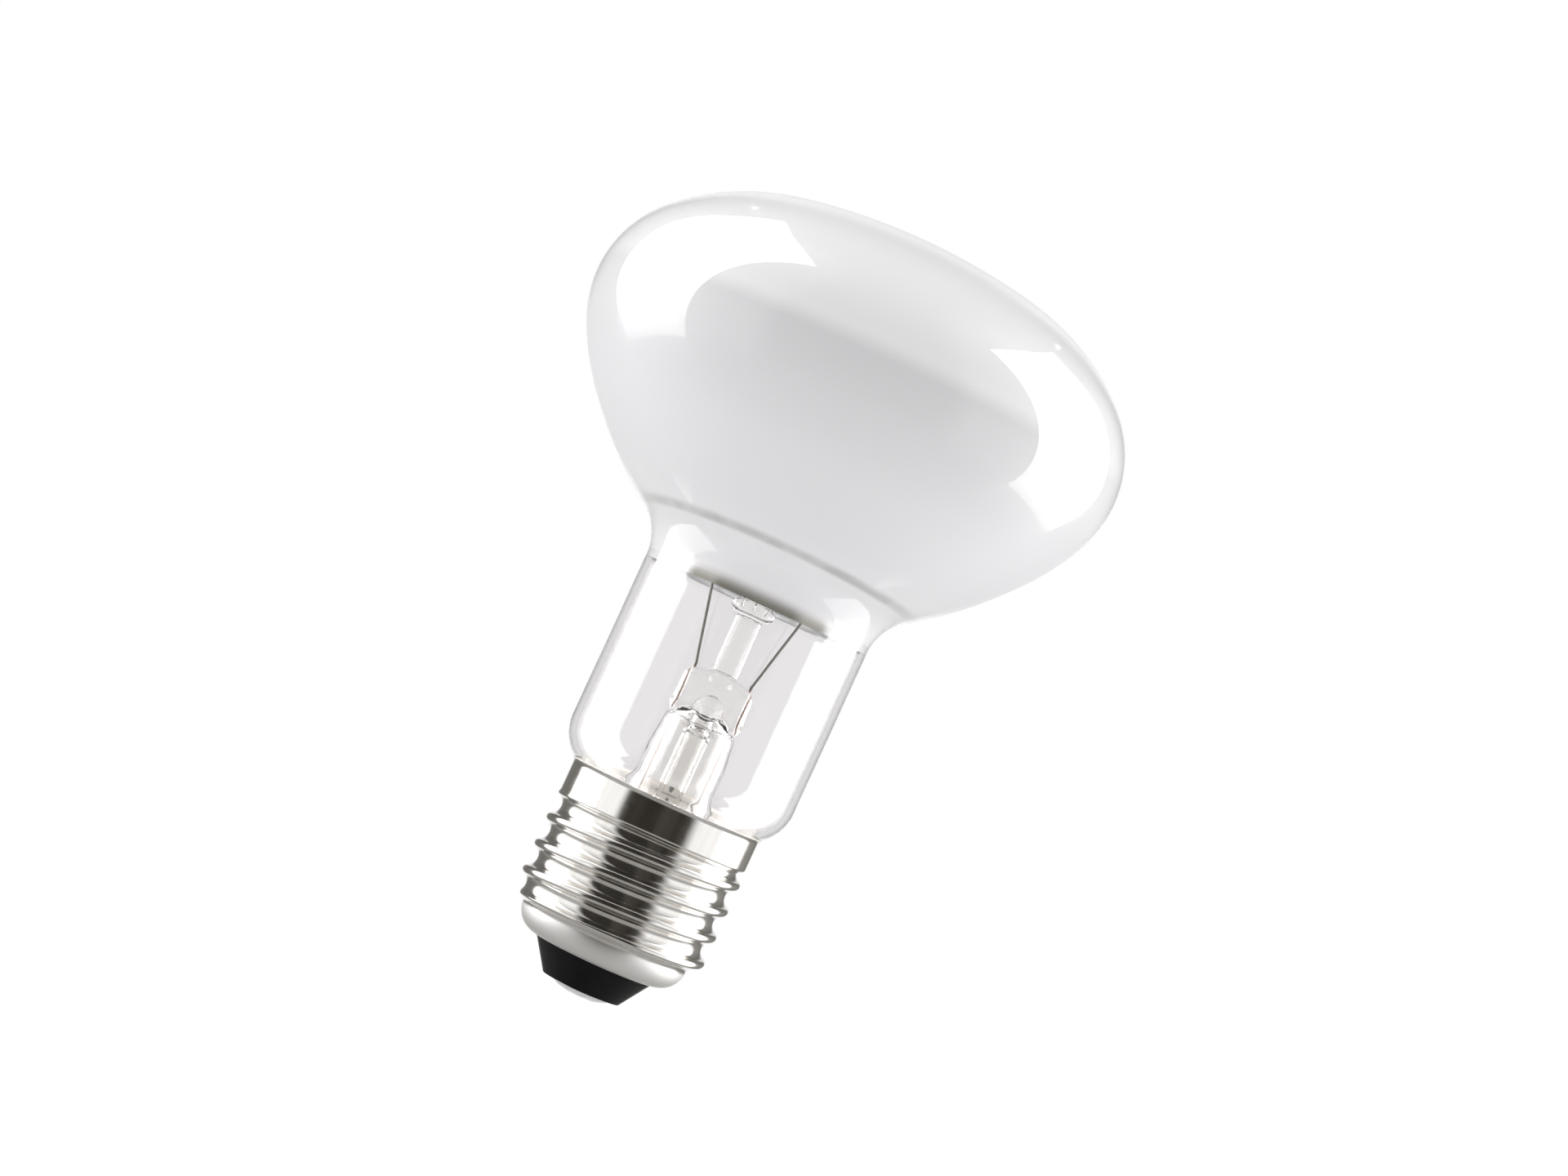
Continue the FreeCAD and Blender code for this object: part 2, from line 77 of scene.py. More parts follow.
# What gloss reflects of the room at each angle round the lamp, from behind it round by the camera's side
ROOM_ROUND = (
    (-180, (1.0, 1.0, 1.0)),
    (-170, (1.0, 1.0, 1.0)),
    (-163, (0.2, 0.195, 0.185)),
    (-128, (0.18, 0.175, 0.165)),
    (-122, (1.2, 1.2, 1.2)),
    (-48, (1.2, 1.2, 1.2)),
    (-40, (0.035, 0.031, 0.026)),
    (36, (0.03, 0.027, 0.023)),
    (48, (1.2, 1.2, 1.2)),
    (128, (1.2, 1.2, 1.2)),
    (136, (0.3, 0.295, 0.28)),
    (163, (0.2, 0.195, 0.185)),
    (170, (1.0, 1.0, 1.0)),
    (180, (1.0, 1.0, 1.0)),
)

# The softboxes: middle, width, length, and the way they face
SOFTBOXES = {
    "left": (Vector((-0.482, 0.13, 0.21)), 0.52, 1.054, Vector((0.911, 0, -0.414))),
    "right": (Vector((0.531, 0.19, 0.21)), 0.6, 1.034, Vector((-0.928, 0, -0.371))),
}

# How the room changes with the height of the reflected direction: from, to, colour and blend
ROOM_HEIGHTS = (
    (-0.3, -0.6, (0.4, 0.4, 0.4), "MULTIPLY"),
    (0.05, 0.3, (0.8, 0.8, 0.8), "MULTIPLY"),
    (0.4, 0.7, (0.62, 0.62, 0.62), "MULTIPLY"),
    (-0.3, -0.55, (0.36, 0.353, 0.34), "LIGHTEN"),
)

# The dark part overhead: its ends to both sides, its start above the horizon and its end at the back
OVERHEAD_SIDES = (0.4, 0.12)
OVERHEAD_RISE = (0.15, 0.4)
OVERHEAD_BACK = (0.9, 0.65)
OVERHEAD_COLOUR = (0.03, 0.028, 0.025)

# Faint warm shapes in the dark part of the room, which metal shows as swirls
SHAPES_SCALE = 2.6
SHAPES_CUT = (0.42, 0.68)
SHAPES_STRENGTH = 0.035
SHAPES_TINT = (1, 0.92, 0.78)

# The fill light from low down and the lit floor beside the lamp, as they stand on the right-hand side
LOW_FILL = ((0.55, -0.02, -0.1), 0.5, 0.36, (-0.55, 0.02, 0.17))
FLOOR_PATCH = ((0.5, 0.12, -0.29), 0.5, 0.5, (-0.5, -0.12, 0.35))

# The light that comes in through the front: its depth below the dome's top and its width
FRONT_LIGHT_DEPTH = 0.007
FRONT_LIGHT_WIDTH = 0.042

# Where the head's finishes, painted shade, painted reflections and painted glow change, in metres from the
# coat's lower end, its upper end or its ring
# Painted reflection: the dark olive strip at the coat's lower edge
EDGE_DARK_REFLECTION = (0.0001, 0.0022)
# Painted shade: the darker stretch just below the coat's upper end
PAINTED_SHADE_BAND = (-0.016, 0.001)
# The lower flank, where the coat loses its gloss and its colour takes painted shade
GLOSS_GOES = (-0.001, 0.005)
GLOSS_RETURNS = (-0.011, -0.0005)
# Painted reflection: a faint dark ring round the throat's bend
RING_BELOW = (-0.0007, -0.0002)
RING_ABOVE = (0.0, 0.0007)
RING_LEAN = 0.07
FROST_STARTS = (-0.0004, 0.0024)
# Painted shade on the frost, fading out upward
FROST_SHADE_FADES = (0.001, 0.012)
# Painted glow of the frost, rising upward
FROST_PAINTED_GLOW = (0.003, 0.017)
# Painted shade: how much darker the coat's colour is just below its upper end and where the frost starts
PAINTED_BAND_SHADE = 0.86
# Painted highlight along the head's rim
RIM_HIGHLIGHT_COLOUR = (0.97, 0.97, 0.97)

# Grains in a metre of each skin
BLOWN_RIPPLES = 140.0
COAT_CLOUDS = 90.0
ETCHED_GRAINS = 5000.0
MIRROR_GRAINS = 900.0
CAP_STREAKS = 900.0
CAP_WAVES = 170.0
BLACK_SWIRLS = 420.0
SAND_GRAINS = 2600.0

# Spacing of the envelope's rings, and steps round or along the smaller forms
OUTER_SPACING = 0.0008
INNER_SPACING = 0.0011
COIL_STEPS = 10
BOWL_STEPS = 16
THREAD_STEPS = 128
LIP_STEPS = 6
SOLDER_STEPS = 12

# How the stem's pieces of glass are shifted so that they join, and their longest edge
WELD_SHIFT = 0.00005
WELD_WIDENING = 1.006
LONGEST_GLASS_EDGE = 0.0009

# The solder on the contact: its peg and flat foot, and how lumpy and ragged it is
SOLDER_PEG = 0.00085
SOLDER_FOOT = 0.0012
SOLDER_LUMP = 0.00016
LUMPS_PER_METRE = 700
SOLDER_RAG = 0.1
RAGS_PER_METRE = 420

# Forms of the cap that no setting changes. Heights are below the rim where the name ends in _DROP
CAP_WALL = 0.00025
COLLAR_RADIUS = 0.0129
COLLAR_DROP = 0.0042
THREAD_DROP = 0.0041
THREAD_FADE = 0.001
LIP_FLARE = 0.00045
LIP_LENGTH = 0.0006
BOWL_RADIUS = 0.0033
BOWL_OUTER_RADIUS = 0.01135
BOWL_TOP = 0.0083
BOWL_FADE = 0.0013
BOWL_DULL = (-0.0005, 0.0002)
NOTCH_WIDTH = 0.0016
NOTCH_DEPTH = 0.001


def length_setting(name, description, default):
    """A setting for a length in metres."""
    return FloatProperty(name=name, description=description, default=default, unit="LENGTH", precision=6)


def colour_setting(name, description, default):
    """A setting for a colour."""
    return FloatVectorProperty(
        name=name, description=description, default=default, subtype="COLOR", size=3, min=0, max=1
    )


def light_setting(name, description, default):
    """A setting for how bright a light is."""
    return FloatProperty(name=name, description=description, default=default, min=0)


class BulbGlassSettings(bpy.types.PropertyGroup):
    """Where the envelope is clear, mirrored and frosted, and its colours."""

    coat_start: length_setting("Mirror starts", "Height of the mirror coat's lower edge", 0.0545)
    coat_end: length_setting("Mirror ends", "Height where the coat gives way to the frosted front", 0.0866)
    # The faint dark ring is a painted reflection.
    ring_height: length_setting("Ring", "Height of the faint dark ring above the throat", 0.0606)
    coat_colour: colour_setting("Mirror coat", "Colour of the coat behind the glass", (0.79, 0.78, 0.795))
    frost_colour: colour_setting("Frosting", "Colour of the frosted front", (0.9, 0.9, 0.91))
    clear_colour: colour_setting("Clear glass", "Tint of the clear neck", (0.885, 0.875, 0.88))
    stem_colour: colour_setting("Stem glass", "Tint of the stem, its tube and its rod", (0.985, 0.98, 0.965))
    turns: IntProperty(name="Steps", description="Faces round the envelope", default=176, min=48, max=256)


class BulbCapSettings(bpy.types.PropertyGroup):
    """The rolled thread and the finish of the cap."""

    pitch: length_setting("Thread pitch", "Rise of the thread in one turn", 0.003629)
    crest_radius: length_setting("Crest radius", "From the axis to the thread's crests", 0.01315)
    root_radius: length_setting("Root radius", "From the axis to the thread's valleys", 0.01195)
    crest_round: length_setting("Crest round", "Radius of the rounded crests", 0.00062)
    first_crest: length_setting("Upper crest", "Height of the uppermost crest on the right-hand side", 0.021)
    metal_colour: colour_setting("Cap metal", "Colour of the nickel plating", (0.80, 0.79, 0.775))
    turns: IntProperty(name="Steps", description="Faces round the cap", default=240, min=48, max=320)


class BulbWireSettings(bpy.types.PropertyGroup):
    """The coil of the filament and the colours of the wires."""

    coil_radius: length_setting("Coil radius", "Outer radius of the filament's coil", 0.00035)
    coil_wire: length_setting("Coil wire", "Radius of the tungsten wire", 0.00005)
    coil_pitch: length_setting("Coil pitch", "Distance from one turn to the next", 0.00022)
    lead_colour: colour_setting("Leads", "Colour of the nickel leads", (0.2, 0.19, 0.175))
    copper_colour: colour_setting("Sealed wires", "Colour of the copper-clad wires", (0.42, 0.32, 0.27))


class BulbStageSettings(bpy.types.PropertyGroup):
    """Camera, floor and studio light."""

    camera_distance: length_setting("Camera distance", "From the lamp's axis to the camera", 0.48)
    camera_height: length_setting("Camera height", "Height of the camera above the contact", 0.042)
    aim_side: length_setting("Aim side", "How far right of the axis the picture's middle lies", 0.00235)
    aim_height: length_setting("Aim height", "Height of the picture's middle on the axis", 0.0581)
    view_width: length_setting("View width", "Width of the picture at the lamp's axis", 0.2006)
    roll: FloatProperty(
        name="Roll", description="How far the lamp leans to the right in the picture",
        default=math.radians(24.6), subtype="ANGLE",
    )
    floor_drop: length_setting("Floor", "How far the floor lies below the lamp, which hangs over it", 0.3)
    room_light: light_setting("Room light", "Strength of the even light of the room", 0.88)
    softbox_light: light_setting("Softboxes", "Brightness of the two softboxes in the glass", 6.0)
    metal_softbox_light: light_setting("Softboxes in metal", "Brightness of the softboxes in the cap", 1.15)
    floor_patch_light: light_setting("Lit floor", "Brightness of the floor beside the lamp in the glass", 2.0)
    fill_light: light_setting("Fill light", "Brightness of the softboxes' soft light", 0.6)
    low_fill_light: light_setting("Low fill light", "Brightness of the light that the floor throws up", 1.5)
    front_glow: light_setting("Light through the front", "Brightness of the front seen from inside", 0.9)


def new_material(name):
    """A node material, its tree and its Principled BSDF."""
    material = bpy.data.materials.new(name)
    material.use_nodes = True
    tree = material.node_tree
    return material, tree, tree.nodes["Principled BSDF"]


def feed(tree, node, **values):
    """Sets or links inputs of a node. An underscore stands for a space."""
    for key, value in values.items():
        socket = node.inputs[key.replace("_", " ")]
        if isinstance(value, bpy.types.NodeSocket):
            tree.links.new(value, socket)
        else:
            socket.default_value = value


def place(tree, kind, **values):
    """Adds a node with these properties and inputs."""
    node = tree.nodes.new(kind)
    for key, value in values.items():
        if key.replace("_", " ") in node.inputs:
            feed(tree, node, **{key: value})
        else:
            setattr(node, key, value)
    return node


def math_node(tree, operation, first, second=None, clamp=False):
    """A maths node whose inputs are links or numbers, and gives its output."""
    node = place(tree, "ShaderNodeMath", operation=operation, use_clamp=clamp)
    for index, value in enumerate((first, second)):
        if value is None:
            continue
        if isinstance(value, (int, float)):
            node.inputs[index].default_value = value
        else:
            tree.links.new(value, node.inputs[index])
    return node.outputs[0]


def times(tree, first, second):
    """The product of two links or numbers."""
    return math_node(tree, "MULTIPLY", first, second)


def mix_colour(tree, factor, first, second, blend="MIX"):
    """A colour mix whose inputs are links or colours, and gives its output."""
    node = place(tree, "ShaderNodeMix", data_type="RGBA", blend_type=blend)
    for socket, value in ((node.inputs[0], factor), (node.inputs[6], first), (node.inputs[7], second)):
        if isinstance(value, bpy.types.NodeSocket):
            tree.links.new(value, socket)
        elif isinstance(value, (int, float)):
            socket.default_value = value
        else:
            socket.default_value = (*value, 1)
    return node.outputs[2]


def new_group(name, inputs, outputs):
    """A shader node group with named number inputs and outputs."""
    group = bpy.data.node_groups.new(name, "ShaderNodeTree")
    for label, value in inputs:
        socket = group.interface.new_socket(name=label, in_out="INPUT", socket_type="NodeSocketFloat")
        socket.default_value = value
    for label in outputs:
        group.interface.new_socket(name=label, in_out="OUTPUT", socket_type="NodeSocketFloat")
    return group, group.nodes.new("NodeGroupInput"), group.nodes.new("NodeGroupOutput")


def height_fade_group():
    """A mask that rises smoothly from 0 to 1 between two heights."""
    if "height_fade" in bpy.data.node_groups:
        return bpy.data.node_groups["height_fade"]
    inputs = (("Low", 0.0), ("High", 0.01), ("Lean", 0.0))
    group, given, result = new_group("height_fade", inputs, ("Mask",))
    where = group.nodes.new("ShaderNodeTexCoord")
    split = place(group, "ShaderNodeSeparateXYZ", Vector=where.outputs["Object"])
    leaning = times(group, split.outputs["Y"], given.outputs["Lean"])
    height = math_node(group, "ADD", split.outputs["Z"], leaning)
    feed(group, result, Mask=ease(group, height, given.outputs["Low"], given.outputs["High"]))
    return group


def drawn_metal_group():
    """Marks of drawing and rolling on sheet metal: long streaks round the axis and fine scuffs."""
    if "drawn_metal" in bpy.data.node_groups:
        return bpy.data.node_groups["drawn_metal"]
    inputs = (("Streaks Per Metre", 900.0), ("Waves Per Metre", 160.0))
    group, given, result = new_group("drawn_metal", inputs, ("Streaks", "Waves", "Scuffs"))
    where = group.nodes.new("ShaderNodeTexCoord")
    for label, stretch, detail, scale in (
        ("Streaks", (1, 1, 0.12), 4, given.outputs["Streaks Per Metre"]),
        ("Waves", (1, 1, 0.5), 1, given.outputs["Waves Per Metre"]),
        ("Scuffs", (1, 1, 1), 6, given.outputs["Streaks Per Metre"]),
    ):
        drawn = place(group, "ShaderNodeMapping", Scale=stretch, Vector=where.outputs["Object"])
        values = {"Scale": scale, "Detail": detail, "Vector": drawn.outputs[0]}
        grain = place(group, "ShaderNodeTexNoise", Roughness=0.6, **values)
        feed(group, result, **{label: grain.outputs["Fac"]})
    return group


def surface_grain_group():
    """Fine uneven grain for glass skins, solder and cement."""
    if "surface_grain" in bpy.data.node_groups:
        return bpy.data.node_groups["surface_grain"]
    inputs = (("Grains Per Metre", 3000.0), ("Detail", 3.0))
    group, given, result = new_group("surface_grain", inputs, ("Grain",))
    where = group.nodes.new("ShaderNodeTexCoord")
    grain = place(group, "ShaderNodeTexNoise", Roughness=0.55, Vector=where.outputs["Object"])
    feed(group, grain, Scale=given.outputs["Grains Per Metre"], Detail=given.outputs["Detail"])
    feed(group, result, Grain=grain.outputs["Fac"])
    return group


def use_group(tree, group, **values):
    """Places a shared group in a material with its own values."""
    return place(tree, "ShaderNodeGroup", node_tree=group, **values)


def add_bump(tree, shader, height, depth):
    """Feeds a bump of this depth in metres to the shader."""
    bump = place(tree, "ShaderNodeBump", Strength=1.0, Distance=depth, Height=height)
    feed(tree, shader, Normal=bump.outputs["Normal"])


def spread(tree, value, low, high):
    """Maps a 0 to 1 value onto a range."""
    return place(tree, "ShaderNodeMapRange", Value=value, To_Min=low, To_Max=high).outputs[0]


def ease(tree, value, low, high):
    """A mask that rises smoothly from 0 to 1 as a value goes from low to high."""
    node = place(tree, "ShaderNodeMapRange", interpolation_type="SMOOTHSTEP")
    feed(tree, node, Value=value, From_Min=low, From_Max=high)
    return node.outputs[0]


def inverse(tree, mask):
    """What a mask leaves out."""
    return math_node(tree, "SUBTRACT", 1.0, mask, True)


def height_mask(tree, height, span, lean=0.0):
    """A mask that rises from 0 to 1 over a span of heights, given from one height."""
    low, high = span
    fade = use_group(tree, height_fade_group(), Low=height + low, High=height + high, Lean=lean)
    return fade.outputs["Mask"]


def grain_mask(tree, grains_per_metre, detail):
    """The surface grain at this scale."""
    grain = use_group(tree, surface_grain_group(), Grains_Per_Metre=grains_per_metre, Detail=detail)
    return grain.outputs["Grain"]


def rim_highlight_mask(tree):
    """Where blown glass is seen edge on: the mask of a painted highlight along the rim."""
    rim = place(tree, "ShaderNodeLayerWeight", Blend=0.5)
    return times(tree, ease(tree, rim.outputs["Facing"], 0.5, 0.9), 0.8)


def smooth_face(tree, shader):
    """Gives a satin ground the smooth glass that lies over it."""
    feed(tree, shader, Specular_IOR_Level=0.12, Coat_Roughness=0.02, Coat_IOR=1.5)


def clear_glass(name, colour, ripple_depth, bending=1.5):
    """Clear blown glass, slightly uneven as drawn glass is."""
    material, tree, shader = new_material(name)
    feed(tree, shader, Base_Color=(*colour, 1), Roughness=0.0, IOR=bending, Transmission_Weight=1.0)
    add_bump(tree, shader, grain_mask(tree, BLOWN_RIPPLES, 1.0), ripple_depth)
    return material


def mirror_coat(settings):
    """Aluminium behind glass, satin and pale. Its colour carries painted light: a dark olive reflection at
    its lower edge, pale at the sides, a faint dark reflected ring at the throat, painted shade below the
    coat's upper end and on the lower flank, and a painted highlight along its rim.
    """
    material, tree, shader = new_material("mirror_coat")
    coat = tuple(settings.coat_colour)
    # Painted reflection: the coat's lower edge is dark olive, for the dark room it reflects, and pale towards
    # the sides, where the softboxes' highlights lie over it.
    dark_edge_mask = height_mask(tree, settings.coat_start, EDGE_DARK_REFLECTION)
    facing = place(tree, "ShaderNodeLayerWeight", Blend=0.5).outputs["Facing"]
    side = ease(tree, facing, 0.17, 0.25)
    edge_reflection_colour = mix_colour(tree, side, (0.3, 0.285, 0.25), (0.9, 0.9, 0.9))
    # Painted shade: the coat is darker just below its upper end.
    band = height_mask(tree, settings.coat_end, PAINTED_SHADE_BAND)
    body = mix_colour(tree, band, coat, tuple(c * PAINTED_BAND_SHADE for c in coat))
    # Painted reflection: a faint, streaky dark ring at the ring's height, for the dark that the throat's bend
    # reflects.
    below = height_mask(tree, settings.ring_height, RING_BELOW, RING_LEAN)
    above = height_mask(tree, settings.ring_height, RING_ABOVE, RING_LEAN)
    ring = math_node(tree, "SUBTRACT", below, above, True)
    ring = times(tree, ring, ease(tree, grain_mask(tree, COAT_CLOUDS, 3.0), 0.28, 0.62))
    body = mix_colour(tree, times(tree, ring, 0.6), body, (0.3, 0.3, 0.29))
    goes = height_mask(tree, settings.ring_height, GLOSS_GOES)
    returns = height_mask(tree, settings.coat_end, GLOSS_RETURNS)
    flank = math_node(tree, "SUBTRACT", goes, returns, True)
    # Painted shade: the coat's colour is darker on the lower flank, where its gloss is taken out.
    body = mix_colour(tree, flank, body, (0.92, 0.92, 0.92), "MULTIPLY")
    body = mix_colour(tree, dark_edge_mask, edge_reflection_colour, body)
    # Painted highlight along the rim, left off the lower flank.
    rim = times(tree, rim_highlight_mask(tree), inverse(tree, flank))
    bare = inverse(tree, math_node(tree, "MAXIMUM", side, dark_edge_mask))
    satin = spread(tree, grain_mask(tree, COAT_CLOUDS, 2.0), 0.42, 0.52)
    feed(
        tree, shader,
        Base_Color=mix_colour(tree, rim, body, RIM_HIGHLIGHT_COLOUR),
        Metallic=times(tree, bare, 0.35),
        Roughness=mix_colour(tree, dark_edge_mask, (0.1, 0.1, 0.1), satin),
        Coat_Weight=inverse(tree, times(tree, flank, 0.97)),
    )
    smooth_face(tree, shader)
    return material


def frosted_front(settings):
    """Etched glass under its smooth outer face, with a painted glow that stands for light from the mirror
    behind it, and painted shade just above the coat's end.
    """
    material, tree, shader = new_material("frosted_front")
    frost = tuple(settings.frost_colour)
    starts = height_mask(tree, settings.coat_end, FROST_STARTS)
    shade_fades = height_mask(tree, settings.coat_end, FROST_SHADE_FADES)
    painted_glow_mask = height_mask(tree, settings.coat_end, FROST_PAINTED_GLOW)
    # Painted shade: the frost is darker just above the coat's end and paler upward, as light from above falls
    # on the dome.
    above = mix_colour(tree, shade_fades, tuple(c * 0.89 for c in frost), frost)
    # Painted shade: the frost starts with the coat's shaded colour.
    front = mix_colour(tree, starts, tuple(c * PAINTED_BAND_SHADE for c in settings.coat_colour), above)
    # Painted highlight along the rim, only near the coat's end.
    rim = times(tree, rim_highlight_mask(tree), inverse(tree, shade_fades))
    # Painted glow: emission that stands for light from the mirror behind the frost, faint where the frost
    # starts and stronger higher up.
    glow = times(tree, starts, 0.03)
    feed(
        tree, shader,
        Base_Color=mix_colour(tree, rim, front, RIM_HIGHLIGHT_COLOUR),
        Roughness=spread(tree, grain_mask(tree, ETCHED_GRAINS, 3.0), 0.44, 0.56),
        Emission_Strength=math_node(tree, "ADD", glow, times(tree, painted_glow_mask, 0.1)),
        Emission_Color=(0.98, 0.99, 1, 1),
        Coat_Weight=1.0,
    )
    smooth_face(tree, shader)
    return material


def mirror_inside():
    """The reflecting side of the coat, inside the head."""
    material, tree, shader = new_material("mirror_inside")
    rough = spread(tree, grain_mask(tree, MIRROR_GRAINS, 3.0), 0.12, 0.22)
    feed(tree, shader, Base_Color=(0.9, 0.9, 0.9, 1), Metallic=1.0, Roughness=rough)
    return material


def cap_metal(settings):
    """Bright nickel plating over drawn sheet, with faint streaks and scuffs, duller on the bowl below, whose
    paler colour is painted light.
    """
    material, tree, shader = new_material("cap_metal")
    drawn = use_group(tree, drawn_metal_group(), Streaks_Per_Metre=CAP_STREAKS, Waves_Per_Metre=CAP_WAVES)
    marks = drawn.outputs
    metal = tuple(settings.metal_colour)
    stained = tuple(c * t for c, t in zip(metal, (0.9, 0.86, 0.8)))
    bright = mix_colour(tree, spread(tree, marks["Streaks"], -0.6, 1.2), metal, stained)
    # Painted light: the bowl, which faces down, takes a paler copy of the plating's colour.
    pale = tuple(min(1, c * 1.15) for c in metal)
    above_bowl = height_mask(tree, BOWL_TOP, BOWL_DULL)
    colour = mix_colour(tree, above_bowl, pale, bright)
    polish = spread(tree, marks["Scuffs"], 0.04, 0.22)
    rough = mix_colour(tree, above_bowl, (0.52, 0.52, 0.52), polish)
    feed(tree, shader, Base_Color=colour, Roughness=rough, Metallic=1.0)
    add_bump(tree, shader, marks["Waves"], 0.00005)
    return material


def black_glass():
    """The black cap glass, glossy with faint swirls."""
    material, tree, shader = new_material("insulator_glass")
    grain = grain_mask(tree, BLACK_SWIRLS, 3.0)
    black = mix_colour(tree, grain, (0.002, 0.002, 0.0022), (0.006, 0.0062, 0.0066))
    rough = spread(tree, grain, 0.16, 0.34)
    feed(tree, shader, Base_Color=black, Roughness=rough, Specular_IOR_Level=0.11)
    add_bump(tree, shader, grain, 0.00003)
    return material


def plain_metal(name, colour, rough, grains, depth, metallic=1.0):
    """A metal whose gloss and skin vary with a fine grain."""
    material, tree, shader = new_material(name)
    grain = grain_mask(tree, grains, 4.0)
    shaded = mix_colour(tree, grain, tuple(c * 0.78 for c in colour), colour)
    feed(tree, shader, Base_Color=shaded, Roughness=spread(tree, grain, *rough), Metallic=metallic)
    add_bump(tree, shader, grain, depth)
    return material


def cement():
    """Matt capping cement with a sandy grain. Its glow stands for the light that comes down the glass."""
    material, tree, shader = new_material("cement")
    grain = grain_mask(tree, SAND_GRAINS, 5.0)
    colour = mix_colour(tree, grain, (0.62, 0.59, 0.53), (0.93, 0.91, 0.86))
    feed(tree, shader, Base_Color=colour, Emission_Color=colour, Emission_Strength=0.85, Roughness=0.9)
    add_bump(tree, shader, grain, 0.00012)
    return material


def dress(node, material):
    """Gives a CAD node its finish."""
    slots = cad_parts[node].data.materials
    slots.clear()
    slots.append(material)


def polar(centre, radius, angle):
    """The point of a round where its outward normal has this angle from level, in degrees."""
    lean = math.radians(angle)
    return (centre[0] + radius * math.cos(lean), centre[1] + radius * math.sin(lean))


def next_centre(centre, radius, new_radius, angle):
    """The centre of a round that carries on smoothly from another at a normal angle."""
    return polar(centre, radius - new_radius, angle)


def envelope_rounds():
    """The envelope's rounds from the dome's top to the neck's end, as centre, radius and normals."""
    upper = BELLY_UPPER_ANGLE
    lower = -BELLY_LOWER_ANGLE
    flank = lower - UPPER_FLANK_ANGLE
    edge = 90 - DOME_EDGE_SLOPE
    belly_r = glass_high.x - BELLY_RADIUS
    shoulder_r = belly_r + (BELLY_RADIUS - SHOULDER_RADIUS) * math.cos(math.radians(upper))
    dome_radius = SHOULDER_RADIUS + shoulder_r / math.cos(math.radians(edge))
    dome = (0, glass_high.z - dome_radius)
    shoulder = next_centre(dome, dome_radius, SHOULDER_RADIUS, edge)
    belly = next_centre(shoulder, SHOULDER_RADIUS, BELLY_RADIUS, upper)
    upper_flank = next_centre(belly, BELLY_RADIUS, UPPER_FLANK_RADIUS, lower)
    lower_flank = next_centre(upper_flank, UPPER_FLANK_RADIUS, LOWER_FLANK_RADIUS, flank)
    reach = LOWER_FLANK_RADIUS + THROAT_RADIUS
    throat_lean = -math.degrees(math.acos((NECK_RADIUS + THROAT_RADIUS - lower_flank[0]) / reach))
    throat = next_centre(lower_flank, LOWER_FLANK_RADIUS, -THROAT_RADIUS, throat_lean)
    foot = (NECK_RADIUS - NECK_FOOT_RADIUS, cap_high.z + NECK_FOOT_RISE)
    foot_reach = NECK_FOOT_RADIUS + SEAL_FILLET
    foot_lean = -math.degrees(math.acos((SEAL_RADIUS + SEAL_FILLET - foot[0]) / foot_reach))
    fillet = next_centre(foot, NECK_FOOT_RADIUS, -SEAL_FILLET, foot_lean)
    return [
        (dome, dome_radius, 90, edge),
        (shoulder, SHOULDER_RADIUS, edge, upper),
        (belly, BELLY_RADIUS, upper, lower),
        (upper_flank, UPPER_FLANK_RADIUS, lower, flank),
        (lower_flank, LOWER_FLANK_RADIUS, flank, throat_lean),
        (throat, -THROAT_RADIUS, throat_lean, 0),
        (foot, NECK_FOOT_RADIUS, 0, foot_lean),
        (fillet, -SEAL_FILLET, foot_lean, 0),
    ]


def envelope_outline(inset, spacing):
    """Points of the envelope's outline from the dome's top to the neck's end, set in by a wall."""
    points = []
    for centre, radius, first, last in envelope_rounds():
        length = abs(radius - inset) * math.radians(abs(first - last))
        steps = max(3, math.ceil(length / spacing))
        start = polar(centre, radius - inset, first)
        if points:
            gap = math.dist(points[-1], start)
            rows = math.ceil(gap / spacing)
            points += [
                tuple(a + (b - a) * row / rows for a, b in zip(points[-1], start))
                for row in range(1, rows)
            ]
            if gap > 1e-7:
                points.append(start)
        else:
            points.append((0.0, start[1]))
        turns = [first + (last - first) * step / steps for step in range(1, steps + 1)]
        points += [polar(centre, radius - inset, turn) for turn in turns]
    points.append((SEAL_RADIUS - inset, glass_low.z))
    return points


def split_at(points, height):
    """Adds a point where an outline crosses a height, so that a ring of the mesh lies there."""
    result = []
    for a, b in zip(points, points[1:]):
        result.append(a)
        if (a[1] - height) * (b[1] - height) < 0:
            share = (height - a[1]) / (b[1] - a[1])
            result.append((a[0] + (b[0] - a[0]) * share, height))
    return result + [points[-1]]


def show(thing):
    """Puts an object into the scene."""
    bpy.context.scene.collection.objects.link(thing)


def skin(mesh, material):
    """Gives a mesh one material and smooth shading."""
    mesh.materials.clear()
    mesh.materials.append(material)
    mesh.polygons.foreach_set("use_smooth", [True] * len(mesh.polygons))


def link_mesh(name, vertices, faces, materials, choices=None, sharp=None):
    """Makes a smooth-shaded mesh object that rides on the lamp."""
    mesh = bpy.data.meshes.new(name)
    mesh.from_pydata(vertices, [], faces)
    mesh.polygons.foreach_set("use_smooth", [True] * len(faces))
    for material in materials:
        mesh.materials.append(material)
    if choices:
        mesh.polygons.foreach_set("material_index", choices)
    mesh.validate()
    if sharp is not None:
        mesh.set_sharp_from_angle(angle=sharp)
    piece = bpy.data.objects.new(name, mesh)
    show(piece)
    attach(piece, BODY)
    return piece


